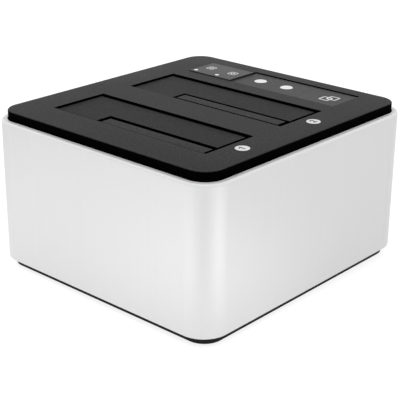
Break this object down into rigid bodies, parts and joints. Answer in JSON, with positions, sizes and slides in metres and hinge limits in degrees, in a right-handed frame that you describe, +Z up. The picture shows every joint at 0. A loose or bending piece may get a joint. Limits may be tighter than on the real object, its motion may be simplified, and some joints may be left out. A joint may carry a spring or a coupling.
{
  "type": "hard drive docking station",
  "caption": "Docking station for bare hard drives: a rounded aluminium sleeve with a black lid, flap-covered drive slots, a control strip with push buttons, and rear sockets.",
  "frame": {"origin": "on the table, under the middle of the sleeve", "axes": "+Z up, X along the drive slots, -Y the front, +Y the rear wall with the sockets"},
  "size_m": [0.1484, 0.16, 0.0867],
  "materials": {
    "aluminium": "bead-blasted and clear anodised",
    "lid_abs": "black ABS, finely textured in the mould",
    "flap_abs": "black ABS, finely textured in the mould",
    "well_abs": "black ABS, plain moulded",
    "base_abs": "black ABS, plain moulded",
    "rubber": "soft black rubber",
    "window_acrylic": "smoke acrylic, polished",
    "plate_acrylic": "smoke acrylic, polished",
    "button_white": "white ABS, smooth",
    "disc_aluminium": "satin aluminium with a printed number",
    "light_pipe": "frosted clear acrylic",
    "steel": "bright zinc-plated steel",
    "black_steel": "black-oxide steel",
    "spring_steel": "drawn spring wire",
    "circuit_board": "green solder mask",
    "chip_epoxy": "black epoxy",
    "sink_aluminium": "extruded, grey anodised",
    "capacitor_sleeve": "shrink sleeve",
    "ferrite": "pressed ferrite",
    "tinned_shell": "tinned steel",
    "tongue_plastic": "blue moulded plastic",
    "socket_nylon": "black glass-filled nylon",
    "switch_nylon": "black nylon",
    "header_nylon": "natural nylon",
    "ribbon_vinyl": "grey flat cable",
    "lamp_epoxy": "clear epoxy lamp",
    "pin_brass": "plated brass"
  },
  "bodies": {
    "case": {"base_plate": "base_abs", "rubber_feet": "rubber", "main_board": "circuit_board", "main_board_screws": "steel", "front_drive_socket": "socket_nylon", "rear_drive_socket": "socket_nylon", "bridge_chip": "chip_epoxy", "heat_sink": "sink_aluminium", "capacitors": "capacitor_sleeve", "inductors": "ferrite", "data_socket_shell": "tinned_shell", "data_socket_tongue": "tongue_plastic", "power_jack": "socket_nylon", "power_jack_pin": "pin_brass", "ribbon_headers": "header_nylon", "ribbon_cable": "ribbon_vinyl", "front_drive_well": "well_abs", "rear_drive_well": "well_abs", "well_screws": "steel", "base_screws": "black_steel", "aluminium_sleeve": "aluminium", "top_lid": "lid_abs", "control_board": "circuit_board", "control_board_screws": "steel", "push_switches": "switch_nylon", "indicator_lamps": "lamp_epoxy", "light_pipes": "light_pipe", "indicator_window": "window_acrylic", "button_plate": "plate_acrylic", "end_plate": "plate_acrylic", "front_number_disc": "disc_aluminium", "rear_number_disc": "disc_aluminium", "front_large_flap_pin": "steel", "front_small_flap_pin": "steel", "rear_large_flap_pin": "steel", "rear_small_flap_pin": "steel", "front_large_flap_spring": "spring_steel", "front_small_flap_spring": "spring_steel", "rear_large_flap_spring": "spring_steel", "rear_small_flap_spring": "spring_steel"},
    "front_large_flap": {"front_large_flap": "flap_abs"},
    "front_small_flap": {"front_small_flap": "flap_abs"},
    "rear_large_flap": {"rear_large_flap": "flap_abs"},
    "rear_small_flap": {"rear_small_flap": "flap_abs"},
    "left_button": {"left_button": "button_white", "left_plunger": "switch_nylon"},
    "right_button": {"right_button": "button_white", "right_plunger": "switch_nylon"}
  },
  "joints": [
    {"name": "front_large_flap_hinge", "type": "hinge", "parent": "case", "child": "front_large_flap", "pos_m": [0, -0.01916, 0.081], "axis": [1, 0, 0], "range_deg": [0, 88], "stiffness_Nm_per_rad": 0.004, "springref_deg": -34.38, "deforming": ["front_large_flap_spring"]},
    {"name": "front_small_flap_hinge", "type": "hinge", "parent": "case", "child": "front_small_flap", "pos_m": [0, -0.05866, 0.081], "axis": [-1, 0, 0], "range_deg": [0, 88], "stiffness_Nm_per_rad": 0.002, "springref_deg": -34.38, "deforming": ["front_small_flap_spring"]},
    {"name": "rear_large_flap_hinge", "type": "hinge", "parent": "case", "child": "rear_large_flap", "pos_m": [0, 0.03572, 0.081], "axis": [1, 0, 0], "range_deg": [0, 88], "stiffness_Nm_per_rad": 0.004, "springref_deg": -34.38, "deforming": ["rear_large_flap_spring"]},
    {"name": "rear_small_flap_hinge", "type": "hinge", "parent": "case", "child": "rear_small_flap", "pos_m": [0, -0.00378, 0.081], "axis": [-1, 0, 0], "range_deg": [0, 88], "stiffness_Nm_per_rad": 0.002, "springref_deg": -34.38, "deforming": ["rear_small_flap_spring"]},
    {"name": "left_button_press", "type": "slide", "parent": "case", "child": "left_button", "axis": [0, 0, -1], "range_m": [0, 0.0005], "stiffness_N_per_m": 400, "springref_m": -0.0005},
    {"name": "right_button_press", "type": "slide", "parent": "case", "child": "right_button", "axis": [0, 0, -1], "range_m": [0, 0.0005], "stiffness_N_per_m": 400, "springref_m": -0.0005}
  ]
}
